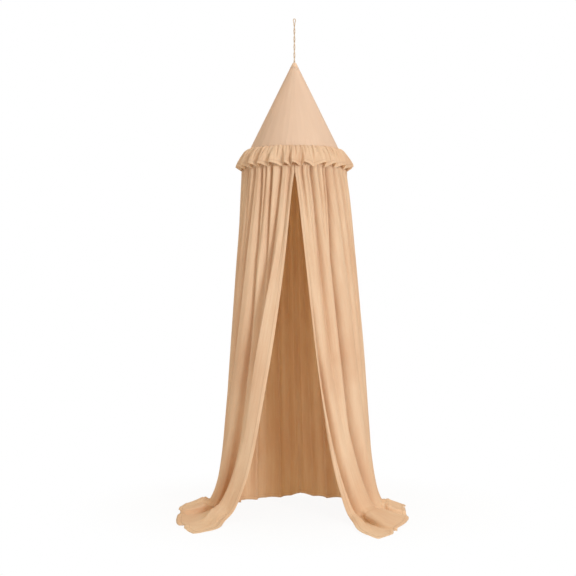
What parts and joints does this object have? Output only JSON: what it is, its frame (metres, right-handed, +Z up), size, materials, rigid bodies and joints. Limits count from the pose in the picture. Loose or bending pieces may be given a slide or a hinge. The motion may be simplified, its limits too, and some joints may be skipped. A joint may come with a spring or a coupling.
{
  "type": "bed canopy",
  "caption": "Hanging bed canopy: a cloth cone on a doubled cord with a gathered frill and a long open drape whose two front curtains trail on the floor.",
  "frame": {"origin": "middle of the eye at the top of the cord, where the hook takes it; the floor is 2.5 m below", "axes": "+Z up along the cord, -Y towards the doorway, +X to the right as seen from the front"},
  "size_m": [1.1343, 1.1341, 2.508],
  "materials": {
    "cotton_cloth": "matt crinkled cotton, dyed peach",
    "ruffle_cloth": "matt cotton, gathered, with a stitched hem",
    "cotton_cord": "matt twisted cotton",
    "hoop_rod": "plain extruded rod",
    "hoop_sleeve": "drawn tube"
  },
  "bodies": {
    "hanger": {"hanging_cord": "cotton_cord", "cord_knot": "cotton_cord"},
    "canopy": {"tip_binding": "cotton_cloth", "cone_front": "cotton_cloth", "cone_back": "cotton_cloth", "hoop_front_half": "hoop_rod", "hoop_back_half": "hoop_rod", "left_hoop_sleeve": "hoop_sleeve", "right_hoop_sleeve": "hoop_sleeve", "hoop_casing": "cotton_cloth", "drape_heading": "cotton_cloth", "ruffle_front": "ruffle_cloth", "ruffle_back": "ruffle_cloth", "left_back_panel": "cotton_cloth", "right_back_panel": "cotton_cloth"},
    "left_curtain": {"left_front_curtain": "cotton_cloth"},
    "right_curtain": {"right_front_curtain": "cotton_cloth"}
  },
  "joints": [
    {"name": "crown_turn", "type": "hinge", "parent": "hanger", "child": "canopy", "pos_m": [0, 0, -0.221], "axis": [0, 0, 1], "range_deg": [-180, 180]},
    {"name": "left_curtain_swing", "type": "hinge", "parent": "canopy", "child": "left_curtain", "pos_m": [-0.25958, 0, -0.807], "axis": [-0.0445, 0, -0.999], "range_deg": [0, 35]},
    {"name": "right_curtain_swing", "type": "hinge", "parent": "canopy", "child": "right_curtain", "pos_m": [0.25958, 0, -0.807], "axis": [-0.068, 0, 0.9977], "range_deg": [0, 35]}
  ]
}
